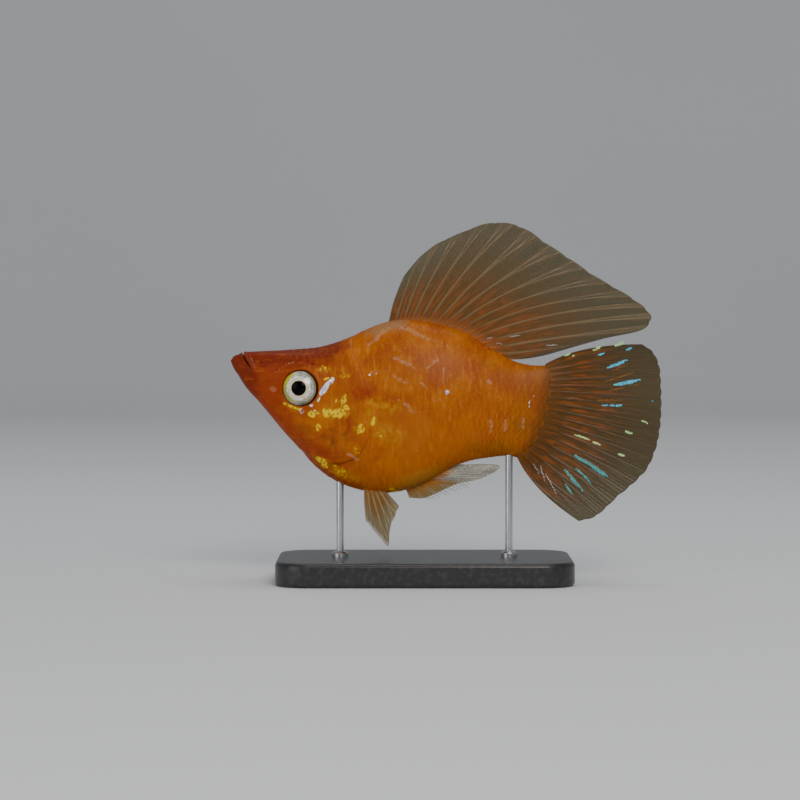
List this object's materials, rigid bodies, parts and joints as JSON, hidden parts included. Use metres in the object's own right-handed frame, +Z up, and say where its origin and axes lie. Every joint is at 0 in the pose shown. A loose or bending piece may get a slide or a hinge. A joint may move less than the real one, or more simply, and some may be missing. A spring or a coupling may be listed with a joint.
{
  "type": "sailfin molly display model",
  "caption": "Life-size still model of a male golden sailfin molly with raised sail fin, on two rods and a flat base.",
  "frame": {"origin": "under the middle of the whole model, on the surface that the stand rests on", "axes": "+Z up; the fish faces -X, so +X points towards its tail; its left side faces -Y"},
  "size_m": [0.0903, 0.036, 0.0753],
  "materials": {
    "head": "moist orange-red skin with small scales",
    "trunk": "orange scales with a soft gloss",
    "tail_stem": "orange scales with a soft gloss",
    "eye_left": "glossy silver-white iris with a black pupil",
    "eye_right": "glossy silver-white iris with a black pupil",
    "dorsal_fin": "translucent amber membrane with fine rays",
    "tail_fin": "translucent amber membrane with fine rays and iridescent flecks",
    "anal_fin": "pale translucent membrane",
    "pelvic_fin_left": "pale yellow translucent membrane",
    "pelvic_fin_right": "pale yellow translucent membrane",
    "pectoral_fin_left": "clear membrane with fine rays",
    "pectoral_fin_right": "clear membrane with fine rays",
    "stand_base": "satin black",
    "stand_rod_front": "brushed steel",
    "stand_rod_rear": "brushed steel"
  },
  "bodies": {
    "root": {"head": "head", "trunk": "trunk", "tail_stem": "tail_stem", "eye_left": "eye_left", "eye_right": "eye_right", "dorsal_fin": "dorsal_fin", "tail_fin": "tail_fin", "anal_fin": "anal_fin", "pelvic_fin_left": "pelvic_fin_left", "pelvic_fin_right": "pelvic_fin_right", "pectoral_fin_left": "pectoral_fin_left", "pectoral_fin_right": "pectoral_fin_right", "stand_base": "stand_base", "stand_rod_front": "stand_rod_front", "stand_rod_rear": "stand_rod_rear"}
  },
  "joints": []
}
